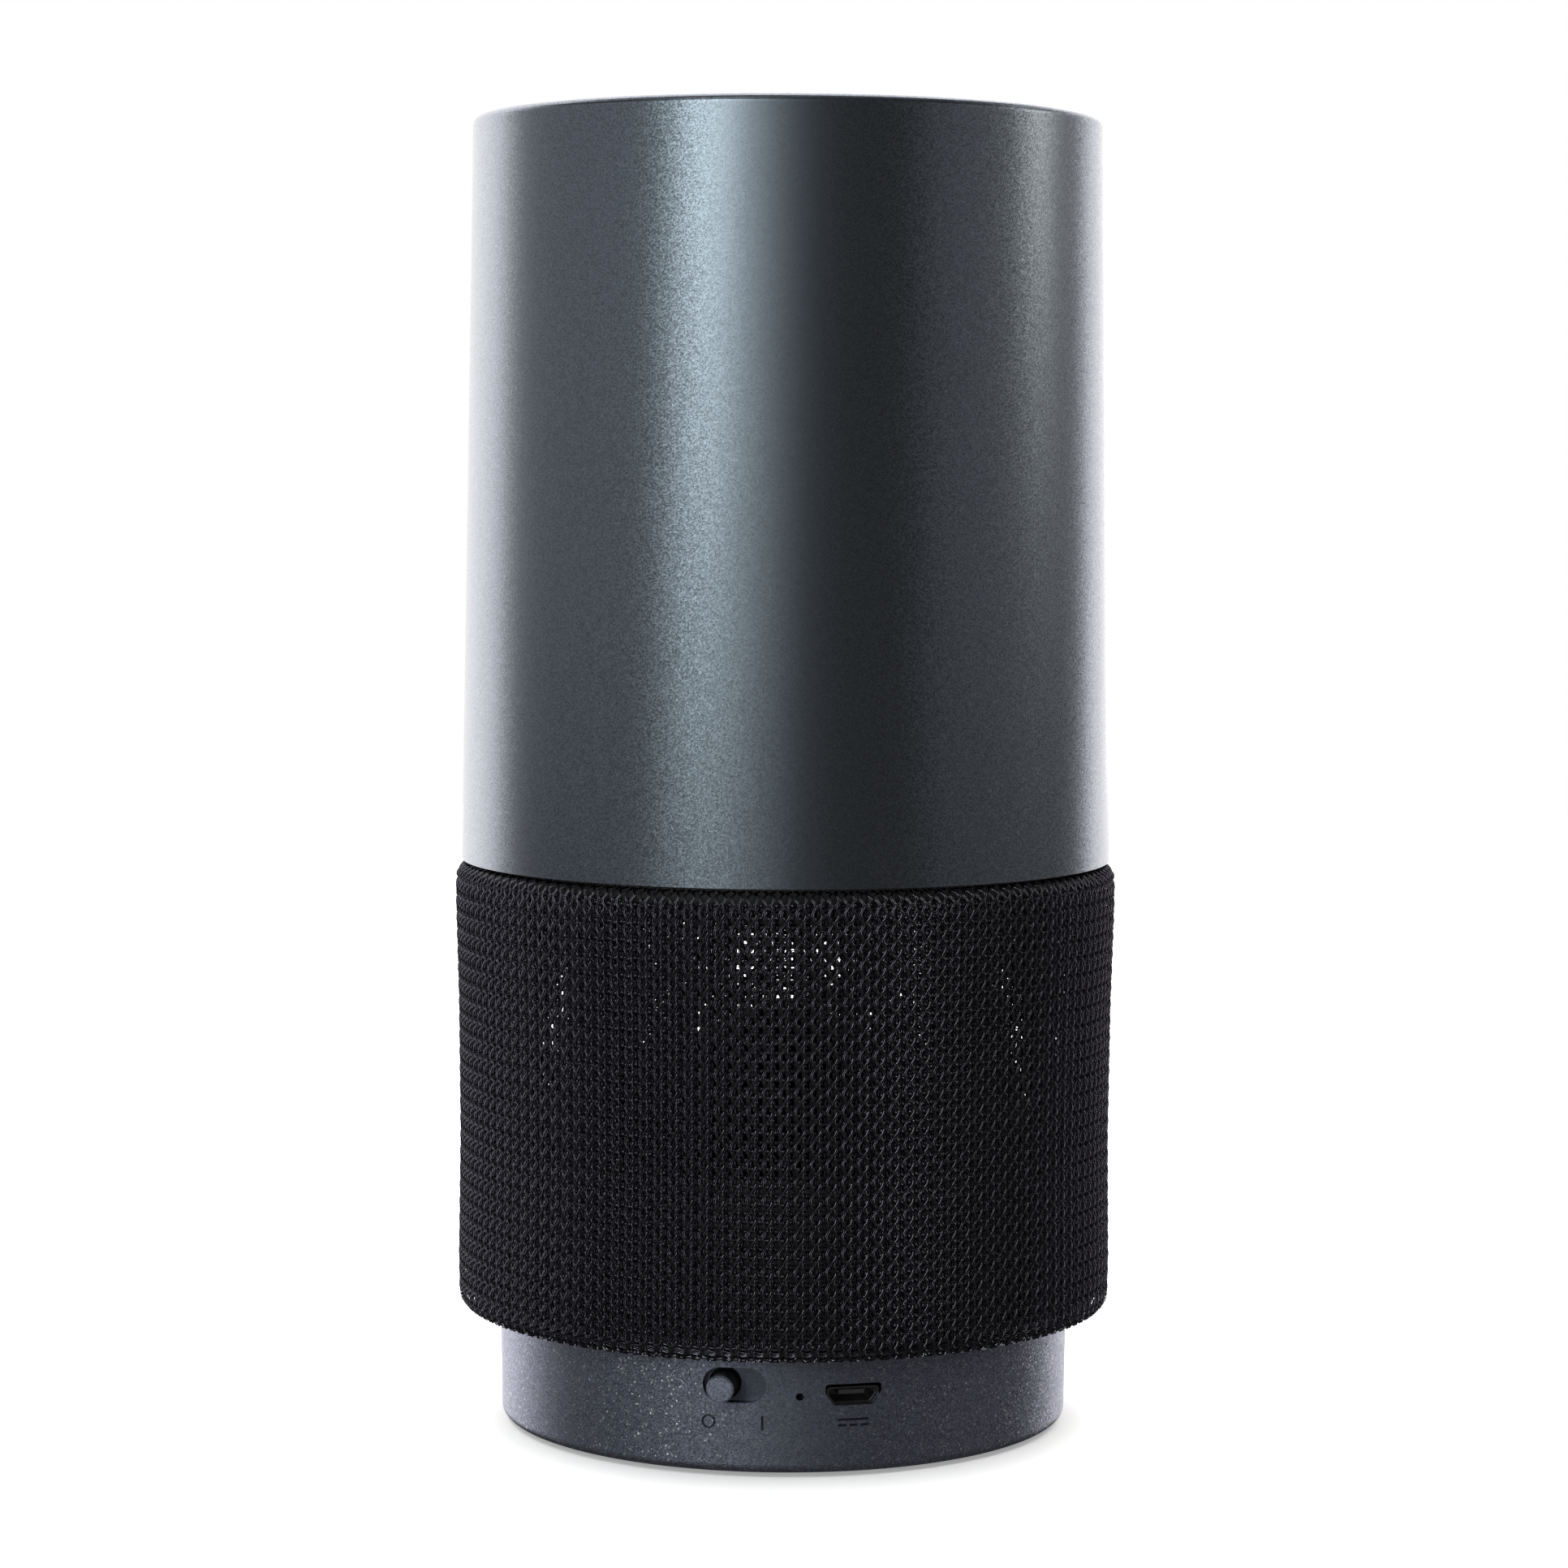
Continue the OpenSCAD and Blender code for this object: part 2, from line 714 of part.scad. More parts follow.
module baffle_screws() {
  head_z = ring_z + small_head_h + 0.1;
  color("silver") at_sides(baffle_screw_r) translate([0, 0, head_z])
    screw_up(small_screw_r, 9, small_head_r, small_head_h);
}

module wire_grommets() {
  color("black") at_wires() translate([0, 0, shell_z]) difference() {
    union() {
      cylinder(r = 2.4, h = baffle_t);
      translate([0, 0, baffle_t]) cylinder(r = 2.9, h = 1);
    }
    translate([0, 0, -1]) cylinder(r = 1.25, h = baffle_t + 3);
  }
}

module driver_gasket() {
  color("black") translate([0, 0, shell_z - gasket_t]) difference() {
    ring(flange_r, driver_hole_r + 0.3, gasket_t);
    for (a = [45:90:315]) rotate([0, 0, a]) translate([driver_screw_at, 0, -1])
      cylinder(r = small_screw_r + 0.2, h = gasket_t + 2);
  }
}

module driver_basket() {
  low = -gasket_t - flange_t;
  color("darkslategray") translate([0, 0, shell_z]) difference() {
    union() {
      translate([0, 0, low]) ring(flange_r, 28.5, flange_t);
      turned([
        [29.6, low + flange_t - 0.2], [22.2, basket_top], [8, basket_top],
        [8, basket_top - basket_t], [21.4, basket_top - basket_t], [21.1, spider_z + 0.8],
        [19, spider_z + 0.8], [19, spider_z], [21.4, spider_z], [28.5, low + flange_t - 0.2]
      ]);
    }
    translate([0, 0, -5]) cylinder(r = coil_r + 0.9, h = basket_top + 10);
    for (a = [0:90:270]) rotate([0, 0, a]) translate([15, -7, 0.5]) cube([20, 14, spider_z - 2]);
    for (a = [45:90:315]) rotate([0, 0, a]) translate([driver_screw_at, 0, -5])
      cylinder(r = small_screw_r + 0.2, h = 10);
  }
}

module driver_screws() {
  color("silver") for (a = [45:90:315]) rotate([0, 0, a])
    translate([driver_screw_at, 0, shell_z - gasket_t - flange_t])
      screw_up(small_screw_r, 7.5, small_head_r, small_head_h);
}

// The strip beside the basket that the speaker wire is soldered to
module driver_terminal() {
  color("peru") at_angle(pillar_angle) translate([-4, -26.3, shell_z + 12.3]) {
    cube([8, 3, 1.2]);
    for (x = [1, 5.4]) translate([x, 0.6, 1.2]) cube([1.6, 1.6, 0.4]);
  }
}

module driver_washer() {
  color("silver") translate([0, 0, shell_z + basket_top]) ring(magnet_r - 2, coil_r + 0.9, 4);
}

module driver_magnet() {
  color("dimgray") translate([0, 0, shell_z + basket_top + 4]) ring(magnet_r, coil_r + 2.5, 10);
}

module driver_yoke() {
  color("silver") translate([0, 0, shell_z + basket_top]) {
    translate([0, 0, 14]) cylinder(r = magnet_r - 1, h = 4);
    cylinder(r = coil_r - 0.7, h = 14.5);
  }
}

// A half-round roll between the cone's edge and the flange
module surround() {
  mid = (cone_r + 28.6) / 2;
  roll = (28.6 - cone_r) / 2;
  low = -gasket_t - flange_t - 0.05;
  steps = 10;
  outer = [for (i = [0:steps]) let (a = 180 + 180 * i / steps)
    [mid + roll * cos(a), low + roll * sin(a)]];
  inner = [for (i = [steps:-1:0]) let (a = 180 + 180 * i / steps)
    [mid + (roll - 0.5) * cos(a), low + (roll - 0.5) * sin(a)]];
  color("black") translate([0, 0, shell_z]) turned(concat(
    [[cone_r - 1.4, low], [cone_r - 1.4, low - 0.5]],
    [for (i = [1:steps - 1]) outer[i]],
    [[31, low - 0.5], [31, low]], [for (i = [1:steps - 1]) inner[i]]
  ));
}

// A corrugated ring between the former and the basket's step
module spider() {
  waves = 7;
  in_r = coil_r + 0.1;
  step = (21 - in_r) / waves;
  line = [for (i = [0:waves]) [in_r + step * i, 0.5 * (i % 2)]];
  color("goldenrod") translate([0, 0, shell_z + spider_z - 1.3]) turned(concat(
    line, [for (i = [waves:-1:0]) line[i] + [0, 0.45]]
  ));
}

module cone() {
  low = -gasket_t - flange_t;
  color("black") translate([0, 0, shell_z + low]) turned([
    [coil_r + 0.05, cone_h], [cone_r - 1.6, 0.4], [cone_r - 1.4, 0.05], [cone_r, 0.05],
    [cone_r, 0.5], [cone_r - 1.2, 0.8], [coil_r + 0.45, cone_h + 0.5], [coil_r + 0.05, cone_h + 0.5]
  ]);
}

// A shallow dome over the coil, pointing down
module dust_cap() {
  steps = 8;
  rise = 3;
  low = -gasket_t - flange_t + cone_h;
  color("black") translate([0, 0, shell_z + low]) turned(concat(
    [for (i = [0:steps]) let (t = i / steps) [(coil_r - 0.05) * t, -rise * (1 - t * t)]],
    [for (i = [steps:-1:0]) let (t = i / steps) [(coil_r - 0.05) * t, 0.5 - rise * (1 - t * t)]]
  ));
}

module coil_former() {
  low = -gasket_t - flange_t + cone_h + 0.5;
  color("goldenrod") translate([0, 0, shell_z + low]) ring(coil_r, coil_r - former_t, 14);
}

module voice_coil() {
  color("orangered") translate([0, 0, shell_z + basket_top - 1])
    ring(coil_r + winding_t, coil_r, 6);
}

// ---- Shell and top panel ----

module shell() {
  steps = 6;
  color("slategray") turned(concat(
    [[shell_r, shell_z]],
    [for (i = [0:steps]) let (a = 90 * i / steps)
      [shell_top_r - rim_round + rim_round * cos(a), total_h - rim_round + rim_round * sin(a)]],
    [[lip_r, total_h], [lip_r, panel_z], [panel_r - 1.9, panel_z], [panel_r - 1.9, panel_z - 1.8],
     [shell_top_r - shell_wall, panel_z - 4], [shell_r - shell_wall, shell_z]]
  ));
}

module top_panel() {
  color("black") difference() {
    union() {
      translate([0, 0, panel_z]) cylinder(r = panel_r, h = panel_t);
      for (p = button_posts) translate([p[0], p[1], button_board_z + button_board_t])
        cylinder(r = 2.8, h = panel_z - button_board_z - button_board_t + 0.5);
    }
    for (i = [-1:1]) translate([i * button_pitch, 0, panel_z - 1])
      cylinder(d = button_d + 0.6, h = panel_t + 2);
    for (p = button_posts) translate([p[0], p[1], button_board_z])
      cylinder(r = small_screw_r + 0.05, h = 6.5);
  }
}

// A cap with a flange that keeps it under the panel, and a mark cut in its top
module button_cap(x) {
  bevel = 0.5;
  color("black") translate([x, 0, 0]) difference() {
    turned([
      [0, cap_z], [cap_flange_r, cap_z], [cap_flange_r, cap_z + cap_flange_t],
      [button_d / 2, cap_z + cap_flange_t], [button_d / 2, cap_top_z - bevel],
      [button_d / 2 - bevel, cap_top_z], [0, cap_top_z]
    ]);
    translate([0, 0, cap_top_z - 0.25]) children();
  }
}

// Seen from the front, which is +Y, volume down is on the left
module volume_down_button() {
  button_cap(button_pitch) translate([-2.5, -0.4, 0]) cube([5, 0.8, 1]);
}

module volume_up_button() {
  button_cap(-button_pitch) union() {
    translate([-2.5, -0.4, 0]) cube([5, 0.8, 1]);
    translate([-0.4, -2.5, 0]) cube([0.8, 5, 1]);
  }
}

module play_button() {
  button_cap(0) union() {
    linear_extrude(1) polygon([[3.4, 2.1], [3.4, -2.1], [-0.2, 0]]);
    for (x = [-1.8, -3.4]) translate([x, -2.1, 0]) cube([0.8, 4.2, 1]);
  }
}

module plunger(x) {
  color("white") translate([x, 0, cap_z - plunger_h]) cylinder(r = plunger_r, h = plunger_h);
}

module volume_down_plunger() {
  plunger(button_pitch);
}

module play_plunger() {
  plunger(0);
}

module volume_up_plunger() {
  plunger(-button_pitch);
}

module button_switches() {
  color("silver") for (i = [-1:1]) translate([i * button_pitch, 0, switch_top_z - switch_body_h])
    difference() {
      translate([-3, -3, 0]) cube([6, 6, switch_body_h]);
      translate([0, 0, switch_body_h - 1.4]) cylinder(r = plunger_r + 0.25, h = 2);
    }
}

module button_board() {
  color("darkgreen") translate([0, 0, button_board_z]) difference() {
    intersection() {
      cylinder(r = 33, h = button_board_t);
      translate([-31, -17, -1]) cube([62, 34, button_board_t + 2]);
    }
    for (p = button_posts) translate([p[0], p[1], -1])
      cylinder(r = small_screw_r + 0.2, h = button_board_t + 2);
  }
}

module button_board_screws() {
  color("silver") for (p = button_posts) translate([p[0], p[1], button_board_z])
    screw_up(small_screw_r, 5.5, small_head_r, small_head_h);
}

module panel_connector() {
  color("ivory") translate([-8, -12.3, button_board_z - 2.8]) cube([6, 4.6, 2.8]);
}

base_housing();
foot_ring();
base_screws();
lower_housing();
outlet_pillars();
outlet_ring();
mesh_sleeve();
reflector();
reflector_screws();
baffle();
baffle_screws();
wire_grommets();
shell();
top_panel();
driver_basket();
driver_gasket();
driver_screws();
driver_terminal();
driver_washer();
driver_magnet();
driver_yoke();
surround();
spider();
cone();
dust_cap();
coil_former();
voice_coil();
main_board();
board_screws();
radio_module();
amplifier_chip();
capacitors();
power_inductor();
wire_connectors();
charge_light();
socket_shell();
socket_tongue();
slide_switch_body();
switch_lever();
power_slider();
battery_cell();
battery_cradle();
battery_wire();
speaker_wire();
panel_wire();
button_board();
button_board_screws();
button_switches();
panel_connector();
volume_down_button();
play_button();
volume_up_button();
volume_down_plunger();
play_plunger();
volume_up_plunger();
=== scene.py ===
from math import cos, pi, radians, sin

import bpy
import numpy as np
from mathutils import Matrix, Vector


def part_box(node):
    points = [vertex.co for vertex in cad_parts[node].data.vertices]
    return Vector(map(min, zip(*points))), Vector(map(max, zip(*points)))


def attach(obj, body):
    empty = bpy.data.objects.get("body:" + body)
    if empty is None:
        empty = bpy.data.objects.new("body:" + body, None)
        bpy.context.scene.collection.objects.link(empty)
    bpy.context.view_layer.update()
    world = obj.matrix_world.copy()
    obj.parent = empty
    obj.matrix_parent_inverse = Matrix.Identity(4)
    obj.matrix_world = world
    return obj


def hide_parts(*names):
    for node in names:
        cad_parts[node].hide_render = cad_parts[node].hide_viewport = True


# The looks of a round portable loudspeaker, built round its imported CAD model. Metres, +Z up.

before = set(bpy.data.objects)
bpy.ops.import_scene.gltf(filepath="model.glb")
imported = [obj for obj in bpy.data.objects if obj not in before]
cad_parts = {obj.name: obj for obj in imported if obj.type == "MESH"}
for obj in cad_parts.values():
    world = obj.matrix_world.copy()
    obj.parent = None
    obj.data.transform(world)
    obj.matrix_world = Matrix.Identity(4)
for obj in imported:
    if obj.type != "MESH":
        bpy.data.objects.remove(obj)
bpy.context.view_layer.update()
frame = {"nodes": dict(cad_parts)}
nodes = frame["nodes"]
MM = 0.001


# ---- Places taken from the frame ----

table_z = 0.0
sleeve_low, sleeve_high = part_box("mesh_sleeve")
sleeve_bottom = sleeve_low.z
sleeve_top = sleeve_high.z
sleeve_r = sleeve_high.x
shell_bottom, shell_top = (corner.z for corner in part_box("shell"))
base_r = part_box("base_housing")[1].x
base_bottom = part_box("base_housing")[0].z


# ---- Node-based materials ----

class Shader:
    """A material with one Principled shader, and short ways to add the nodes that feed it."""

    def __init__(self, name, **settings):
        self.material = bpy.data.materials.new(name)
        self.material.use_nodes = True
        self.tree = self.material.node_tree
        self.bsdf = self.tree.nodes["Principled BSDF"]
        for socket, value in settings.items():
            self.bsdf.inputs[socket.replace("_", " ")].default_value = value

    def link(self, source, target):
        self.tree.links.new(source, target)

    def into(self, source, socket):
        self.link(source, self.bsdf.inputs[socket])

    def node(self, kind, **values):
        made = self.tree.nodes.new("ShaderNode" + kind)
        for key, value in values.items():
            if hasattr(made, key):
                setattr(made, key, value)
            else:
                made.inputs[key.replace("_", " ")].default_value = value
        return made

    def place(self):
        return self.node("TexCoord").outputs["Object"]

    def noise(self, scale, detail=2.0, rough=0.5):
        made = self.node("TexNoise", Scale=scale, Detail=detail, Roughness=rough)
        self.link(self.place(), made.inputs["Vector"])
        return made.outputs["Fac"]

    def cells(self, scale):
        made = self.node("TexVoronoi", Scale=scale)
        self.link(self.place(), made.inputs["Vector"])
        return made

    def red_of(self, cells):
        """A value from 0 to 1 that is the same all over one cell."""
        separate = self.node("SeparateColor")
        self.link(cells.outputs["Color"], separate.inputs["Color"])
        return separate.outputs["Red"]

    def ramp(self, source, stops):
        made = self.node("ValToRGB")
        elements = made.color_ramp.elements
        while len(elements) < len(stops):
            elements.new(0.5)
        for element, (at, colour) in zip(elements, stops):
            element.position = at
            element.color = (*colour, 1.0)
        self.link(source, made.inputs["Fac"])
        return made.outputs["Color"]

    def grey_ramp(self, source, stops):
        return self.ramp(source, [(at, (v, v, v)) for at, v in stops])

    def math(self, operation, first, second=None):
        made = self.node("Math", operation=operation)
        for i, value in enumerate((first, second)):
            if value is None:
                continue
            if isinstance(value, (int, float)):
                made.inputs[i].default_value = value
            else:
                self.link(value, made.inputs[i])
        return made.outputs["Value"]

    def mix(self, factor, first, second):
        made = self.node("Mix", data_type="RGBA")
        for socket, value in (("Factor", factor), ("A", first), ("B", second)):
            kind = "VALUE" if socket == "Factor" else "RGBA"
            target = [i for i in made.inputs if i.name == socket and i.type == kind][0]
            if isinstance(value, (int, float)):
                target.default_value = value
            elif isinstance(value, tuple):
                target.default_value = (*value, 1.0)
            else:
                self.link(value, target)
        return [o for o in made.outputs if o.type == "RGBA"][0]

    def bump(self, height, strength, distance):
        made = self.node("Bump", Strength=strength, Distance=distance)
        self.link(height, made.inputs["Height"])
        return made.outputs["Normal"]

    def tilted_flakes(self, cells, tilt):
        """The surface normal, turned a little a different way in each cell."""
        geometry = self.node("NewGeometry")
        centred = self.node("VectorMath", operation="SUBTRACT")
        centred.inputs[1].default_value = (0.5, 0.5, 0.5)
        self.link(cells.outputs["Color"], centred.inputs[0])
        scaled = self.node("VectorMath", operation="SCALE", Scale=tilt)
        self.link(centred.outputs["Vector"], scaled.inputs[0])
        added = self.node("VectorMath", operation="ADD")
        self.link(geometry.outputs["Normal"], added.inputs[0])
        self.link(scaled.outputs["Vector"], added.inputs[1])
        unit = self.node("VectorMath", operation="NORMALIZE")
        self.link(added.outputs["Vector"], unit.inputs[0])
        return unit.outputs["Vector"]


PAINT = (0.285, 0.325, 0.385)
BASE_PAINT = (0.425, 0.46, 0.6)
FLAKE = (0.95, 0.98, 1.0)


def shaded(colour, factor):
    """A colour made darker or lighter."""
    return tuple(min(1.0, c * factor) for c in colour)


def flake_paint(name, rough, grain, contrast, tilt, sparkle=0.0, paint=PAINT, groove_shade_mask=None):
    """Satin metallic paint: a grain of flakes that differ in shade and tilt, and a few bright ones.
    A mask may mark where the paint lies in a shallow cut; there it is drawn much darker, as painted shade."""
    s = Shader(name, Metallic=1.0, Roughness=rough)
    fine = s.cells(grain)
    shade = s.red_of(fine)
    body = s.mix(shade, shaded(paint, 1 - contrast), shaded(paint, 1 + contrast))
    normal = s.tilted_flakes(fine, tilt)
    if sparkle:
        coarse = s.cells(grain * 0.75)
        bright = s.grey_ramp(s.red_of(coarse), [(0.0, 0.0), (0.9, 0.0), (0.95, sparkle)])
        body = s.mix(bright, body, FLAKE)
        normal = s.mix(bright, normal, s.tilted_flakes(coarse, 4 * tilt))
    if groove_shade_mask:
        # Painted shade: inside the cut marks the paint is drawn at under a third of its brightness.
        body = s.mix(groove_shade_mask(s), body, shaded(paint, 0.3))
    s.into(body, "Base Color")
    s.into(normal, "Normal")
    return s.material


def cut_mark_shade(s):
    """1 in the marks cut into the base's outside, and 0 on the face round them. The paint is drawn darker
    there, as painted shade in the cuts.
    """
    flat = s.node("VectorMath", operation="MULTIPLY")
    s.link(s.place(), flat.inputs[0])
    flat.inputs[1].default_value = (1, 1, 0)
    radius = s.node("VectorMath", operation="LENGTH")
    s.link(flat.outputs["Vector"], radius.inputs[0])
    height = s.node("SeparateXYZ")
    s.link(s.place(), height.inputs["Vector"])
    sunk = s.math("LESS_THAN", radius.outputs["Value"], base_r - 0.29 * MM)
    above_rounding = s.math("GREATER_THAN", height.outputs["Z"], base_bottom + 3 * MM)
    return s.math("MULTIPLY", sunk, above_rounding)


def moulded(name, colour, rough=0.5, grain=2500, height=0.15, gloss=0.5):
    """Moulded plastic or rubber with a fine texture and a slightly uneven colour."""
    s = Shader(name, Specular_IOR_Level=gloss)
    cloud = s.noise(90, 4)
    lighter = tuple(min(1.0, c * 1.25 + 0.004) for c in colour)
    s.into(s.mix(cloud, colour, lighter), "Base Color")
    s.into(s.grey_ramp(cloud, [(0.3, rough * 0.88), (0.7, min(1.0, rough * 1.1))]), "Roughness")
    s.into(s.bump(s.noise(grain, 3), height, 0.05 * MM), "Normal")
    return s.material


def metal(name, colour, rough):
    """Plated or bare metal with faint stains."""
    s = Shader(name, Metallic=1.0)
    cloud = s.noise(160, 4)
    s.into(s.mix(cloud, shaded(colour, 0.82), colour), "Base Color")
    s.into(s.grey_ramp(cloud, [(0.25, rough * 0.8), (0.75, rough * 1.25)]), "Roughness")
    s.into(s.bump(s.noise(1800, 2), 0.08, 0.02 * MM), "Normal")
    return s.material


def board(name):
    """Green solder mask with copper tracks showing faintly through it."""
    s = Shader(name, Roughness=0.32, Coat_Weight=0.5, Coat_Roughness=0.1)
    tracks = s.node("TexBrick", Scale=230.0, offset=0.37, squash=0.6)
    tracks.inputs["Mortar Size"].default_value = 0.07
    s.link(s.place(), tracks.inputs["Vector"])
    dark = (0.008, 0.075, 0.03)
    tracks.inputs["Color1"].default_value = (*dark, 1)
    tracks.inputs["Color2"].default_value = (0.01, 0.09, 0.037, 1)
    tracks.inputs["Mortar"].default_value = (0.03, 0.17, 0.075, 1)
    s.into(s.mix(s.noise(300, 2), tracks.outputs["Color"], dark), "Base Color")
    s.into(s.bump(tracks.outputs["Fac"], 0.3, 0.03 * MM), "Normal")
    return s.material


def paper(name, colour, fibres=900):
    """Pressed paper pulp with a fibrous surface."""
    s = Shader(name, Roughness=0.85, Sheen_Weight=0.15)
    fuzz = s.noise(fibres, 8, rough=0.75)
    s.into(s.ramp(fuzz, [(0.35, shaded(colour, 0.6)), (0.7, colour)]), "Base Color")
    s.into(s.bump(fuzz, 0.6, 0.12 * MM), "Normal")
    return s.material


def woven(name, colour, threads=1400):
    """A stiffened cloth with a plain weave."""
    s = Shader(name, Roughness=0.75)
    weave = s.node("TexChecker", Scale=threads)
    s.link(s.place(), weave.inputs["Vector"])
    weave.inputs["Color1"].default_value = (*colour, 1)
    weave.inputs["Color2"].default_value = (*shaded(colour, 0.6), 1)
    s.into(weave.outputs["Color"], "Base Color")
    s.into(s.bump(weave.outputs["Fac"], 0.5, 0.1 * MM), "Normal")
    return s.material


def winding(name, colour):
    """Turns of enamelled wire, one above the other."""
    s = Shader(name, Metallic=0.85, Roughness=0.3, Coat_Weight=0.6)
    turns = s.node("TexWave", wave_type="BANDS", bands_direction="Z", Scale=1600.0)
    s.link(s.place(), turns.inputs["Vector"])
    s.into(s.mix(turns.outputs["Fac"], shaded(colour, 0.45), colour), "Base Color")
    s.into(s.bump(turns.outputs["Fac"], 0.8, 0.1 * MM), "Normal")
    return s.material


def knob_paint(name):
    """Flake paint on what faces outwards near the front, bare black plastic on the sides and further in.
    The plate in the slot is drawn darker, as painted shade in the recess.
    """
    s = Shader(name, Roughness=0.4)
    knob_low, knob_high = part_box("power_slider")
    outwards = Vector((knob_low.x + knob_high.x, knob_low.y + knob_high.y, 0)).normalized()
    facing = s.node("VectorMath", operation="DOT_PRODUCT")
    s.link(s.node("TexCoord").outputs["Normal"], facing.inputs[0])
    facing.inputs[1].default_value = outwards
    along = s.node("VectorMath", operation="DOT_PRODUCT")
    s.link(s.place(), along.inputs[0])
    along.inputs[1].default_value = outwards
    front = s.math("GREATER_THAN", facing.outputs["Value"], 0.6)
    proud = s.math("GREATER_THAN", along.outputs["Value"], base_r - 1.9 * MM)
    painted = s.math("MULTIPLY", front, proud)
    fine = s.cells(6000)
    knob = s.mix(s.red_of(fine), shaded(BASE_PAINT, 0.6), shaded(BASE_PAINT, 1.25))
    # Painted shade: the plate lying down in the slot gets the paint at 0.42 of its brightness, darker than
    # the knob's face.
    raised = s.math("GREATER_THAN", along.outputs["Value"], base_r)
    face_and_shaded_plate = s.mix(raised, shaded(BASE_PAINT, 0.42), knob)
    s.into(s.mix(painted, (0.008, 0.008, 0.009), face_and_shaded_plate), "Base Color")
    s.into(s.math("MULTIPLY", painted, 0.9), "Metallic")
    s.into(s.tilted_flakes(fine, 0.1), "Normal")
    return s.material


def yarn(name, shine, rough):
    """Black yarn of many drawn filaments: it shines like dark metal, and dims towards its edges."""
    s = Shader(name, Metallic=1.0, Roughness=rough, Specular_Tint=(0.4, 0.4, 0.44, 1.0))
    fuzz = s.noise(5200, 3)
    s.into(s.ramp(fuzz, [(0.3, shaded(shine, 0.6)), (0.75, shine)]), "Base Color")
    s.into(s.bump(fuzz, 0.25, 0.03 * MM), "Normal")
    return s.material


def dress(material, *names):
    """Give a material to some of the CAD nodes."""
    for name in names:
        slots = nodes[name].data.materials
        slots.clear()
        slots.append(material)


shell_paint = flake_paint("shell_paint", rough=0.32, grain=6500, contrast=0.3, tilt=0.08)
base_paint = flake_paint("base_paint", rough=0.45, grain=6000, contrast=0.4, tilt=0.14, sparkle=0.65,
                         paint=BASE_PAINT, groove_shade_mask=cut_mark_shade)
black_plastic = moulded("black_plastic", (0.018, 0.018, 0.02))
black_gloss = moulded("black_gloss", (0.012, 0.012, 0.014), rough=0.16, height=0.03)
rubber = moulded("rubber", (0.016, 0.016, 0.017), rough=0.72, grain=1600, height=0.3, gloss=0.3)
steel = metal("zinc_plate", (0.62, 0.63, 0.65), 0.28)
bright_metal = metal("bright_metal", (0.82, 0.82, 0.84), 0.16)
coated_steel = moulded("coated_steel", (0.03, 0.03, 0.033), rough=0.38)
ivory = moulded("ivory_plastic", (0.74, 0.7, 0.56), rough=0.42)
white_plastic = moulded("white_plastic", (0.78, 0.78, 0.76), rough=0.4)
chip = moulded("chip_black", (0.02, 0.02, 0.023), rough=0.6)

dress(shell_paint, "shell")
dress(base_paint, "base_housing")
dress(knob_paint("slider_paint"), "power_slider")
dress(black_plastic, "lower_housing", "outlet_pillars", "outlet_ring", "reflector", "baffle",
      "battery_cradle")
dress(black_gloss, "top_panel")
dress(rubber, "foot_ring", "wire_grommets", "driver_gasket", "surround",
      "volume_down_button", "play_button", "volume_up_button")
dress(steel, "base_screws", "reflector_screws", "baffle_screws", "driver_screws",
      "board_screws", "button_board_screws", "driver_washer", "driver_yoke")
dress(metal("dull_plate", (0.34, 0.34, 0.35), 0.3), "socket_shell")
dress(bright_metal, "slide_switch_body", "radio_module", "button_switches")
dress(coated_steel, "driver_basket")
dress(moulded("ferrite", (0.05, 0.05, 0.054), rough=0.8, grain=900, height=0.5), "driver_magnet")
dress(paper("paper_cone", (0.035, 0.034, 0.033)), "cone", "dust_cap")
dress(woven("spider_cloth", (0.42, 0.25, 0.08)), "spider")
dress(moulded("amber_film", (0.5, 0.26, 0.06), rough=0.25), "coil_former")
dress(winding("copper_turns", (0.72, 0.34, 0.16)), "voice_coil")
dress(board("solder_mask"), "main_board", "button_board")
dress(moulded("tag_board", (0.3, 0.17, 0.07), rough=0.6), "driver_terminal")
dress(chip, "amplifier_chip", "power_inductor", "socket_tongue")
dress(moulded("capacitor_sleeve", (0.02, 0.035, 0.12), rough=0.3), "capacitors")
dress(ivory, "wire_connectors", "panel_connector")
dress(white_plastic, "charge_light", "switch_lever", "volume_down_plunger", "play_plunger",
      "volume_up_plunger")
dress(moulded("CELL_Wrap", (0.02, 0.12, 0.3), rough=0.25, height=0.05), "battery_cell")
dress(moulded("red_wire", (0.42, 0.02, 0.015), rough=0.4), "battery_wire")
dress(moulded("black_wire", (0.02, 0.02, 0.02), rough=0.4), "speaker_wire")
dress(moulded("grey_wire", (0.2, 0.2, 0.21), rough=0.45), "panel_wire")


# ---- The knitted sleeve ----

# Two openings share a cell: one in its middle and one half a cell over and up. Places in the knit
# are counted in cells, and sizes of yarn are radii.
CELLS_ROUND = 136
PANELS = 8
CELL_H = 2.49 * MM
FIRST_WALE = 0.23
YARN = 0.135 * MM
BACK_YARN = 0.26 * MM
FACE_DEPTH = 0.2565 * MM
BACK_DEPTH = 2.1 * MM
EDGE_ROLL = 2.2 * MM
chance = np.random.default_rng(5)


def sleeve_radius(z):
    """Outer radius of the taut sleeve at a height: fuller at its shoulder and near its lower edge."""
    t = (z - sleeve_bottom) / (sleeve_top - sleeve_bottom)
    heights = [0.0, 0.014, 0.1, 0.38, 0.68, 0.9, 1.0]
    inset = [0.95, 0.45, 0.35, 0.6, 0.4, 0.0, 0.0]
    return sleeve_r - np.interp(t, heights, inset) * MM


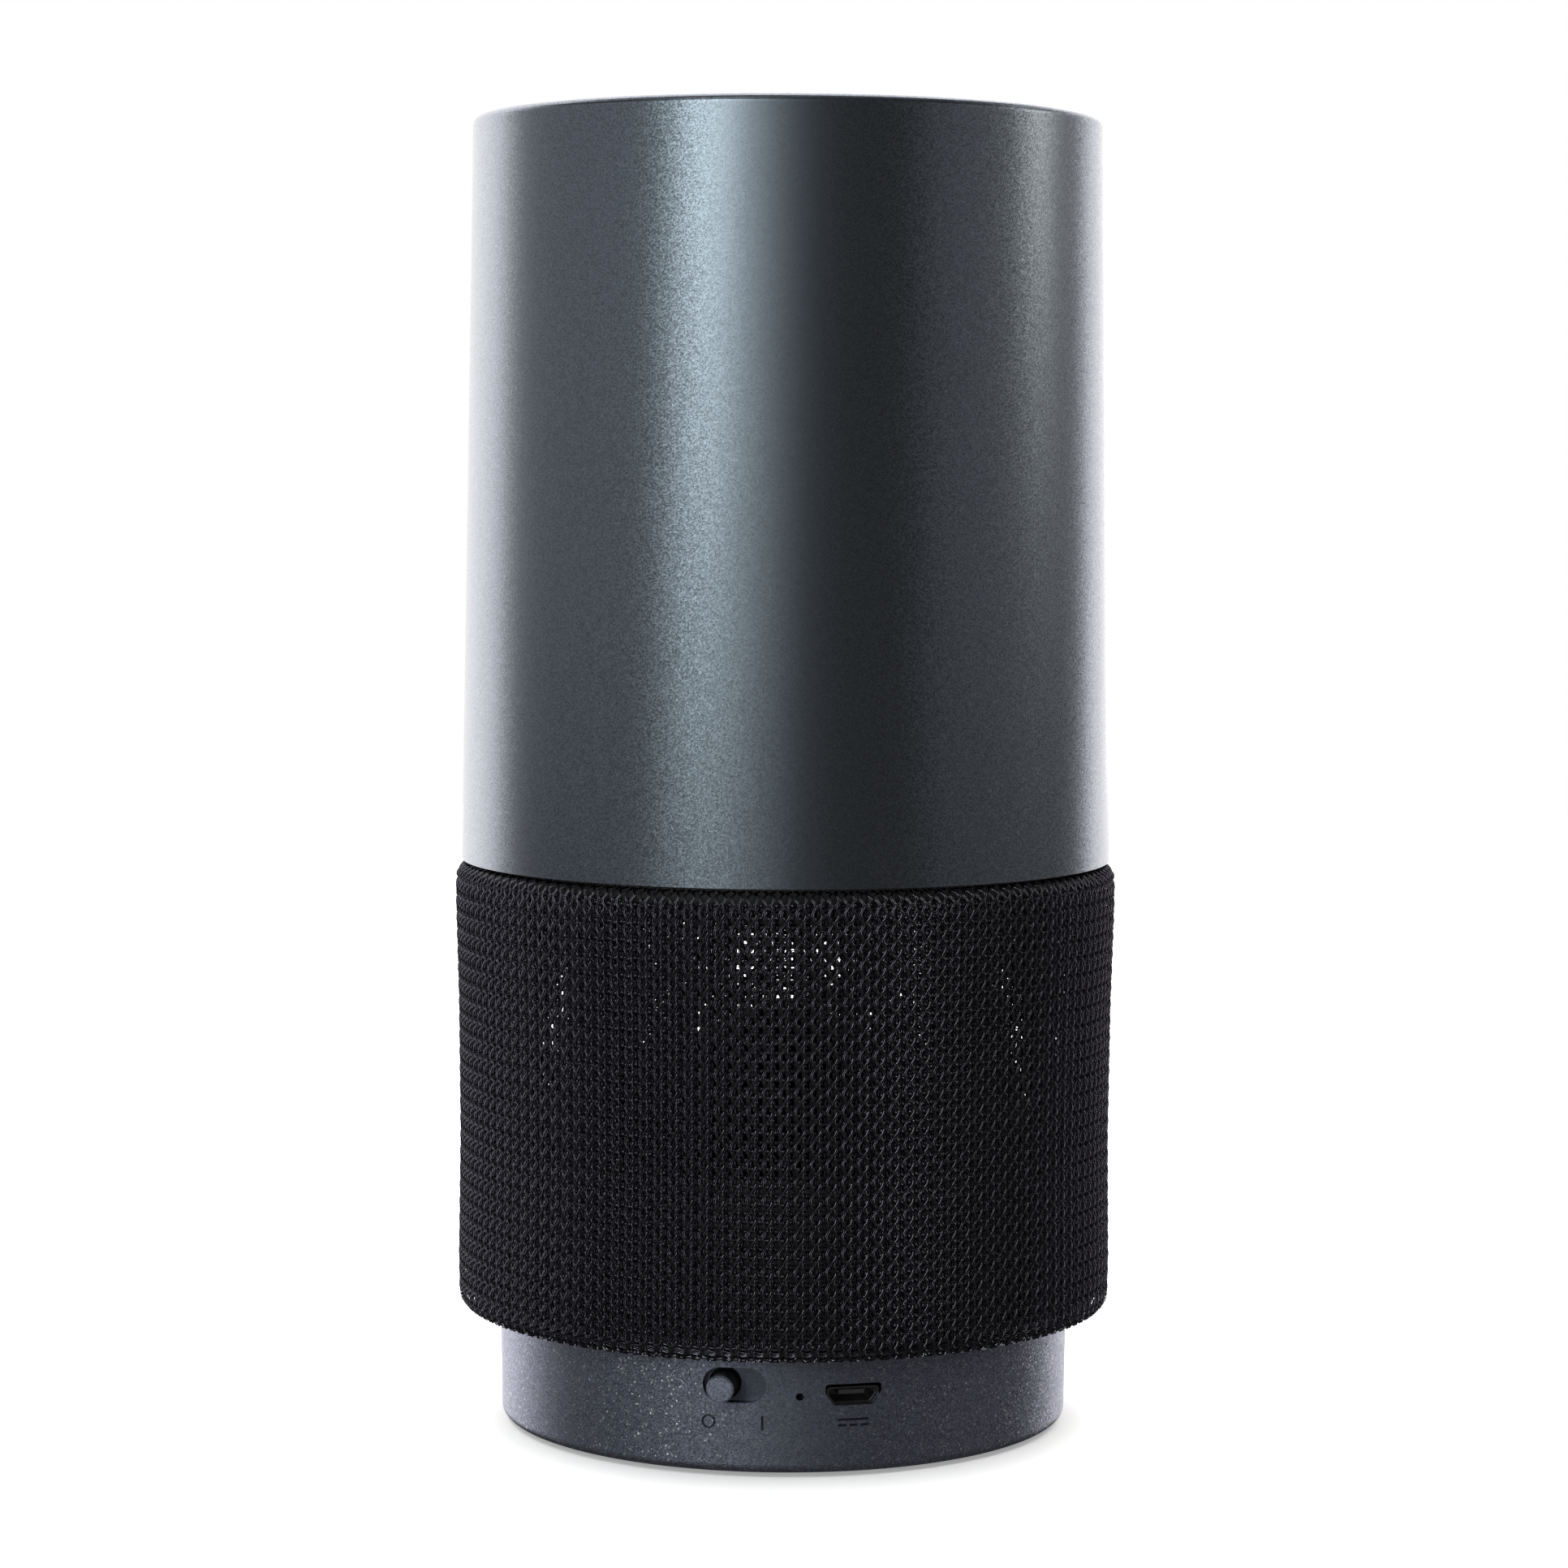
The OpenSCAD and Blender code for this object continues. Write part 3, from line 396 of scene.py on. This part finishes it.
def on_sleeve(u, v, depth):
    """Points of the knit. u counts cells round the sleeve from -Y towards +X, v is the length of
    cloth above the lower edge, and depth is how far under the outer face a point lies. Past the
    shoulder the cloth turns in under the shell."""
    bend_from = sleeve_top - sleeve_bottom - EDGE_ROLL
    past = np.clip((v - bend_from) / EDGE_ROLL, 0, None)
    turn = np.clip(past, 0, pi / 2)
    flat_part = np.clip(past - pi / 2, 0, None) * EDGE_ROLL
    z = sleeve_bottom + np.minimum(v, bend_from) + (EDGE_ROLL - depth) * np.sin(turn)
    z = np.where(past <= 0, sleeve_bottom + v, z)
    r = sleeve_radius(np.minimum(z, sleeve_top - EDGE_ROLL)) - EDGE_ROLL
    r = r + (EDGE_ROLL - depth) * np.cos(turn) - flat_part
    angle = 2 * pi * u / CELLS_ROUND
    return np.stack([r * np.sin(angle), -r * np.cos(angle), z], axis=-1)


def tubes(paths, radius, sides=4, flat=1.0):
    """Vertices and quads of one closed tube per path. paths has the shape (tubes, points, 3), sides
    is even, and flat is the tube's thickness as a share of its width."""
    count, length, _ = paths.shape
    along = np.gradient(paths, axis=1)
    along /= np.linalg.norm(along, axis=-1, keepdims=True)
    out = paths * np.array([1.0, 1.0, 0.0])
    out /= np.linalg.norm(out, axis=-1, keepdims=True)
    side = np.cross(along, out)
    side /= np.linalg.norm(side, axis=-1, keepdims=True)
    out = np.cross(side, along)
    turns = 2 * pi * (np.arange(sides) + 0.5) / sides
    ring = np.cos(turns)[:, None] * side[:, :, None] + flat * np.sin(turns)[:, None] * out[:, :, None]
    verts = (paths[:, :, None] + radius * ring).reshape(-1, 3)
    first = (np.arange(count)[:, None, None] * length + np.arange(length - 1)[None, :, None]) * sides
    k = np.arange(sides)
    after = (k + 1) % sides
    walls = np.stack([first + k, first + after, first + sides + after, first + sides + k], axis=-1)
    start = np.arange(count)[:, None, None] * length * sides
    fan = np.array([[0, i, i + 1, i + 2] for i in range(1, sides - 2, 2)])
    caps = [start + fan[None, :, ::-1], start + (length - 1) * sides + fan[None]]
    return verts, np.concatenate([q.reshape(-1, 4) for q in [walls] + caps])


def mesh_piece(name, groups):
    """One smooth-shaded object. Each group is a material and its parts, as (vertices, quads)."""
    parts = [(part, slot) for slot, (_, members) in enumerate(groups) for part in members]
    verts = np.concatenate([v for (v, _), _ in parts])
    starts = np.cumsum([0] + [len(v) for (v, _), _ in parts[:-1]])
    quads = np.concatenate([q + start for ((_, q), _), start in zip(parts, starts)])
    slots = np.concatenate([np.full(len(q), slot) for (_, q), slot in parts])
    mesh = bpy.data.meshes.new(name)
    mesh.vertices.add(len(verts))
    mesh.vertices.foreach_set("co", verts.astype(np.float32).ravel())
    mesh.loops.add(quads.size)
    mesh.loops.foreach_set("vertex_index", quads.astype(np.int32).ravel())
    mesh.polygons.add(len(quads))
    mesh.polygons.foreach_set("loop_start", np.arange(0, quads.size, 4, dtype=np.int32))
    for material, _ in groups:
        mesh.materials.append(material)
    mesh.polygons.foreach_set("material_index", slots.astype(np.int32))
    mesh.update(calc_edges=True)
    mesh.validate()
    mesh.shade_smooth()
    made = bpy.data.objects.new(name, mesh)
    bpy.context.scene.collection.objects.link(made)
    return made


def wave(v):
    """A rounded zigzag, 1 at whole numbers and -1 halfway between."""
    return np.cos(2 * pi * v) * (1.0 + 0.28 * np.sin(2 * pi * v) ** 2)


def wales(first, last, cloth_len, depth, sway, spread, per_cell, lift=0.0, wander=0.01):
    """The paired yarns of the wales between two counts. Neighbouring wales sway against each
    other, which leaves staggered openings between them, and they wander a little at random."""
    steps = int(round(cloth_len / CELL_H * per_cell)) + 1
    v = np.linspace(0.0, cloth_len / CELL_H, steps)
    k = np.arange(first, last)
    parity = np.where(k % 2 == 0, 1.0, -1.0)[:, None]
    middle = FIRST_WALE + k[:, None] / 2 + parity * (sway * wave(v + lift)[None, :] - 0.02)
    middle = middle + chance.normal(0.0, wander, middle.shape)
    made = []
    for ply in (-1, 1):
        u = middle + ply * spread * (0.85 + 0.15 * np.cos(4 * pi * (v + lift)))[None, :]
        d = depth - 0.05 * MM * np.cos(4 * pi * v + ply)[None, :]
        made.append(on_sleeve(u, v[None, :] * CELL_H + 0 * u, d + 0 * u))
    return np.concatenate(made)


def arcs(first, last, rows, depth, across, up, proud):
    """Short yarns, one to a cell. across and up are the places along one of them, in cells from the
    middle of an opening, and it stands proud in its middle."""
    t = np.linspace(0, 1, len(across))
    k = np.arange(first, last)[:, None, None]
    row = np.arange(1, rows)[None, :, None]
    u = k + across[None, None, :] + 0 * row
    v = (row + up[None, None, :] + 0 * k) * CELL_H
    return on_sleeve(u, v, depth - proud * np.sin(pi * t)[None, None, :] + 0 * v).reshape(-1, len(t), 3)


def glossy_yarns(first, last, rows):
    """The yarns that zigzag over every other wale."""
    t = np.linspace(0, 1, 7)
    down_left = arcs(first, last, rows, YARN * 1.2, 0.25 - 0.3 * t ** 2, 0.1 - 0.52 * t, 0.16 * MM)
    down_right = arcs(first, last, rows, YARN * 1.2, 0.14 + 0.16 * t, -0.5 - 0.28 * t, 0.12 * MM)
    return [tubes(down_left, YARN, flat=0.7), tubes(down_right, YARN * 0.8, flat=0.7)]


def loop_heads(first, last, rows):
    """The small loops that tie neighbouring wales together where they meet."""
    t = np.linspace(0, 1, 4)
    made = []
    for at_u, at_v in ((-0.02, 0.5), (0.48, 0.0)):
        for lower in (-0.045, 0.05):
            head = arcs(first, last, rows, YARN * 1.3, at_u - 0.085 + 0.17 * t,
                        at_v + lower + 0.05 * np.sin(pi * t), 0.16 * MM)
            made.append(tubes(head, YARN * 0.6))
    return made


def crossings(first, last, rows):
    """The flat yarns of the inner face that cross from wale to wale and leave short holes."""
    t = np.linspace(0, 1, 3)
    made = []
    for at_u, at_v in ((-0.02, 0.0), (0.48, 0.5)):
        for lower in (-0.28, 0.28):
            bar = arcs(first, last, rows, BACK_DEPTH - 0.1 * MM, at_u - 0.2 + 0.4 * t,
                       at_v + lower + 0 * t, 0 * MM)
            made.append(tubes(bar, BACK_YARN * 1.75, flat=0.35))
    return made


def spacers(first, last, rows):
    """The thin yarns that cross on a slant from the outer face to the inner one."""
    t = np.linspace(0, 1, 3)
    depth = (0.4 + 1.5 * t) * MM
    made = []
    for at_u, at_v, lean in ((0.1, 0.1, 0.28), (0.36, 0.6, -0.28), (0.6, 0.35, 0.28), (0.86, 0.85, -0.28)):
        thread = arcs(first, last, rows, depth, at_u + lean * t, at_v + 0.2 * t, 0 * MM)
        made.append(tubes(thread, YARN * 0.7))
    return made


def hem(first, last):
    """The yarns that run along the cut edge, across the cloth's thickness."""
    u = np.linspace(first, last, (last - first) * 4 + 1)[None, :]
    level = np.array([0.1, 0.34, 0.1, 0.36, 0.62, 0.12, 0.4])[:, None]
    depth = np.array([0.6, 0.7, 1.2, 1.4, 1.9, 2.0, 2.1])[:, None] * MM
    v = (level + 0.05 * np.cos(2 * pi * u)) * CELL_H
    return tubes(on_sleeve(u + 0 * v, v, depth + 0 * v), BACK_YARN, flat=0.8)


def cut_ends(first, last):
    """Short worn yarn ends that stick out of the cut edge. Their pale colour is a painted highlight, for
    the light the lower edge catches.
    """
    count = 2 * (last - first)
    t = np.linspace(0, 1, 4)[None, :]
    u = chance.uniform(first, last, (count, 1)) + chance.uniform(-0.18, 0.18, (count, 1)) * t
    v = chance.uniform(0.05, 0.3, (count, 1)) - chance.uniform(-0.05, 0.25, (count, 1)) * t
    v = np.maximum(v, 0.03)
    depth = YARN * 1.5 - 0.15 * MM * np.sin(pi * t)
    return tubes(on_sleeve(u, v * CELL_H, depth + 0 * u), YARN * 0.45)


cloth_len = sleeve_top - sleeve_bottom - EDGE_ROLL + EDGE_ROLL * (pi / 2 + 0.3)
rows_up = int(cloth_len / CELL_H) - 1
face_yarn = yarn("black_yarn", (0.2, 0.194, 0.236), rough=0.3)
# Painted highlight: the yarn ends along the lower edge are coloured pale grey to stand for the light they
# catch.
highlit_yarn_ends = moulded("yarn_ends_painted_highlight", (0.2, 0.2, 0.22), rough=0.7)
glossy_yarn = yarn("glossy_black_yarn", (0.26, 0.25, 0.3), rough=0.24)
back_yarn = yarn("satin_black_yarn", (0.25, 0.242, 0.3), rough=0.36)
per_panel = CELLS_ROUND // PANELS
for p in range(PANELS):
    cell_span = (p * per_panel, (p + 1) * per_panel)
    wale_span = (2 * p * per_panel, 2 * (p + 1) * per_panel)
    face_wales = wales(*wale_span, cloth_len, FACE_DEPTH, sway=0.105, spread=0.062, per_cell=6)
    face = mesh_piece(f"knit_face_{p + 1}", [
        (face_yarn, [tubes(face_wales, YARN * 1.05, flat=0.5)] + loop_heads(*cell_span, rows_up)),
        (glossy_yarn, glossy_yarns(*cell_span, rows_up)),
    ])
    back_wales = wales(*wale_span, cloth_len - EDGE_ROLL, BACK_DEPTH, sway=0.05, spread=0.11,
                       per_cell=5, lift=0.1, wander=0.06)
    back = mesh_piece(f"knit_back_{p + 1}", [
        (back_yarn, [tubes(back_wales, BACK_YARN, flat=0.4)] + crossings(*cell_span, rows_up)),
    ])
    pile = mesh_piece(f"knit_pile_{p + 1}", [
        (back_yarn, spacers(*cell_span, rows_up) + [hem(*cell_span)]),
        (highlit_yarn_ends, [cut_ends(*cell_span)]),
    ])
    for piece in (face, back, pile):
        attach(piece, "speaker")
        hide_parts("mesh_sleeve")


# ---- Camera ----

camera = bpy.data.objects.new("camera", bpy.data.cameras.new("camera"))
bpy.context.scene.collection.objects.link(camera)
camera.data.sensor_width = 36
camera.data.lens = 93.15
camera.location = (-0.28 * MM, -600.9 * MM, 141.1 * MM)
look_down = radians(4.4546)
lean = radians(0.28)
camera.rotation_euler = (
    Matrix.Rotation(pi / 2 - look_down, 4, "X") @ Matrix.Rotation(lean, 4, "Z")
).to_euler()
bpy.context.scene.camera = camera


# ---- Floor, light and background ----

def studio_floor():
    """A round pale floor."""
    steps = 96
    rings = [0.0, 0.25, 0.6, 1.1]
    verts = [(0.0, 0.0, table_z)]
    for r in rings[1:]:
        verts += [(r * cos(2 * pi * i / steps), r * sin(2 * pi * i / steps), table_z) for i in range(steps)]
    faces = [(0, 1 + i, 1 + (i + 1) % steps) for i in range(steps)]
    for ring in range(len(rings) - 2):
        a = 1 + ring * steps
        faces += [(a + i, a + steps + i, a + steps + (i + 1) % steps, a + (i + 1) % steps)
                  for i in range(steps)]
    mesh = bpy.data.meshes.new("floor")
    mesh.from_pydata(verts, [], faces)
    s = Shader("floor_white", Roughness=0.9, Emission_Color=(1.0, 1.0, 1.0, 1.0), Emission_Strength=0.3)
    s.into(s.mix(s.noise(3, 2), (0.86, 0.86, 0.865), (0.88, 0.88, 0.88)), "Base Color")
    mesh.materials.append(s.material)
    made = bpy.data.objects.new("floor", mesh)
    bpy.context.scene.collection.objects.link(made)
    made.visible_glossy = False


def softbox(name, azimuth, distance, low, high, width, radiance, tint=(1, 1, 1)):
    """An upright light panel that faces the object. Azimuth runs from -Y towards +X, in degrees,
    and radiance is the brightness of its face."""
    light = bpy.data.lights.new(name, "AREA")
    light.shape = "RECTANGLE"
    light.size = width
    light.size_y = high - low
    light.color = tint
    light.energy = radiance * width * (high - low) * pi
    made = bpy.data.objects.new(name, light)
    a = radians(azimuth)
    made.location = (distance * sin(a), -distance * cos(a), (low + high) / 2)
    made.rotation_euler = (pi / 2, 0, a)
    made.visible_camera = False
    bpy.context.scene.collection.objects.link(made)
    return made


def overhead(name, height, size, radiance):
    """A round light panel above the object, which makes no reflections."""
    light = bpy.data.lights.new(name, "AREA")
    light.shape = "DISK"
    light.size = size
    light.energy = radiance * pi * (size / 2) ** 2 * pi
    made = bpy.data.objects.new(name, light)
    made.location = (0, 0.1, height)
    made.visible_camera = False
    made.visible_glossy = False
    bpy.context.scene.collection.objects.link(made)


ROOM = 0.045
WALL = 1.85
WALL_AZIMUTH = radians(186.5)
WALL_HALF = radians(54)
WALL_FOOT = -0.28


def background():
    """White where the camera looks. For other rays, a dim room with a white wall behind the object
    that starts a little below the horizon."""
    world = bpy.data.worlds.new("studio")
    bpy.context.scene.world = world
    world.use_nodes = True
    nodes = world.node_tree.nodes
    link = world.node_tree.links.new
    nodes.clear()

    def vector_math(operation, source, by=None):
        made = nodes.new("ShaderNodeVectorMath")
        made.operation = operation
        link(source, made.inputs[0])
        if by is not None:
            made.inputs[1].default_value = by
        return made.outputs

    def ranged(source, low, high, to_low, to_high):
        made = nodes.new("ShaderNodeMapRange")
        link(source, made.inputs["Value"])
        for socket, value in (("From Min", low), ("From Max", high)):
            made.inputs[socket].default_value = value
        for socket, value in (("To Min", to_low), ("To Max", to_high)):
            if isinstance(value, (int, float)):
                made.inputs[socket].default_value = value
            else:
                link(value, made.inputs[socket])
        return made.outputs["Result"]

    direction = nodes.new("ShaderNodeTexCoord").outputs["Generated"]
    level = vector_math("NORMALIZE", vector_math("MULTIPLY", direction, (1, 1, 0))["Vector"])["Vector"]
    ahead = vector_math("DOT_PRODUCT", level, (sin(WALL_AZIMUTH), -cos(WALL_AZIMUTH), 0))["Value"]
    height = vector_math("DOT_PRODUCT", direction, (0, 0, 1))["Value"]
    wall = ranged(height, WALL_FOOT - 0.06, WALL_FOOT + 0.06, ROOM, WALL)
    strength = ranged(ahead, cos(WALL_HALF + 0.05), cos(WALL_HALF - 0.05), ROOM, wall)

    room = nodes.new("ShaderNodeBackground")
    room.inputs["Color"].default_value = (1, 0.955, 0.92, 1)
    link(strength, room.inputs["Strength"])
    seen = nodes.new("ShaderNodeBackground")
    seen.inputs["Color"].default_value = (1, 1, 1, 1)
    mix = nodes.new("ShaderNodeMixShader")
    link(nodes.new("ShaderNodeLightPath").outputs["Is Camera Ray"], mix.inputs["Fac"])
    link(room.outputs["Background"], mix.inputs[1])
    link(seen.outputs["Background"], mix.inputs[2])
    link(mix.outputs["Shader"], nodes.new("ShaderNodeOutputWorld").inputs["Surface"])


studio_floor()
softbox("key_strip", -28, 1.3, 0.2, 1.3, 0.34, 3.3, (0.93, 1.0, 0.95))
softbox("key_spill", -24, 1.25, 0.0, 1.3, 0.95, 0.48, (0.93, 1.0, 0.97))
softbox("left_fill", -84, 1.3, 0.0, 0.9, 1.5, 0.23, (0.96, 0.97, 1.0))
softbox("right_fill", 86, 1.3, 0.0, 0.9, 2.0, 0.13)
softbox("right_kicker", 100, 1.25, 0.28, 0.9, 0.17, 4.6, (1.0, 0.94, 0.82))
softbox("right_back", 165, 1.25, 0.0, 0.9, 0.35, 1.3, (1.0, 0.97, 0.95))
overhead("top_light", 2.0, 4.0, 2.4)
background()
bpy.context.scene.view_settings.view_transform = "Standard"
